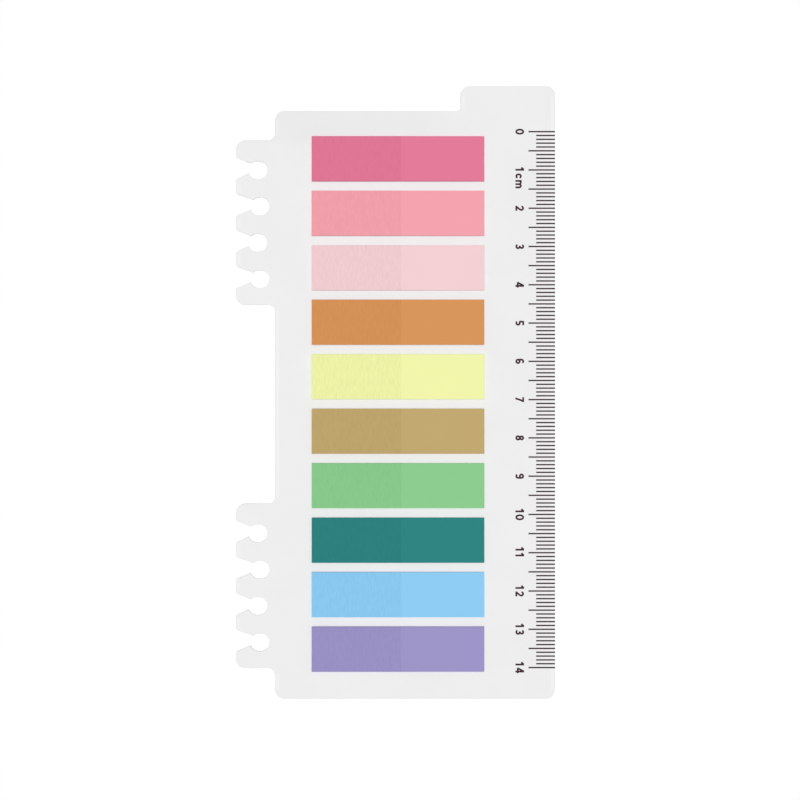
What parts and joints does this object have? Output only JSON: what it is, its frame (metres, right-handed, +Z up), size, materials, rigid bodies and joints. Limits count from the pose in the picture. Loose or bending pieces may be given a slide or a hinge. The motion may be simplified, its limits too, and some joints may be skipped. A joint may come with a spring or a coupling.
{
  "type": "sticky index tabs",
  "caption": "Coloured film index flags in a column of pads on a frosted plastic ruler sheet, with an index tab and ring notches that clip into a loose-leaf binder.",
  "frame": {"origin": "middle of the outline, on the underside of the board", "axes": "+Z up from the board through the pads, +Y along the length towards the index tab, +X towards the ruled edge, away from the ring notches"},
  "size_m": [0.0834, 0.1602, 0.002],
  "materials": {
    "frosted_board": "milky translucent plastic sheet, fine frosted, with a dark printed scale",
    "rose_film": "dyed translucent film, satin",
    "salmon_film": "dyed translucent film, satin",
    "pale_pink_film": "dyed translucent film, satin",
    "orange_film": "dyed translucent film, satin",
    "yellow_film": "dyed translucent film, satin",
    "tan_film": "dyed translucent film, satin",
    "green_film": "dyed translucent film, satin",
    "teal_film": "dyed translucent film, satin",
    "sky_blue_film": "dyed translucent film, satin",
    "violet_film": "dyed translucent film, satin"
  },
  "bodies": {
    "root": {"board": "frosted_board", "pad_rose": "rose_film", "pad_salmon": "salmon_film", "pad_pale_pink": "pale_pink_film", "pad_orange": "orange_film", "pad_yellow": "yellow_film", "pad_tan": "tan_film", "pad_green": "green_film", "pad_teal": "teal_film", "pad_sky_blue": "sky_blue_film", "pad_violet": "violet_film"}
  },
  "joints": []
}
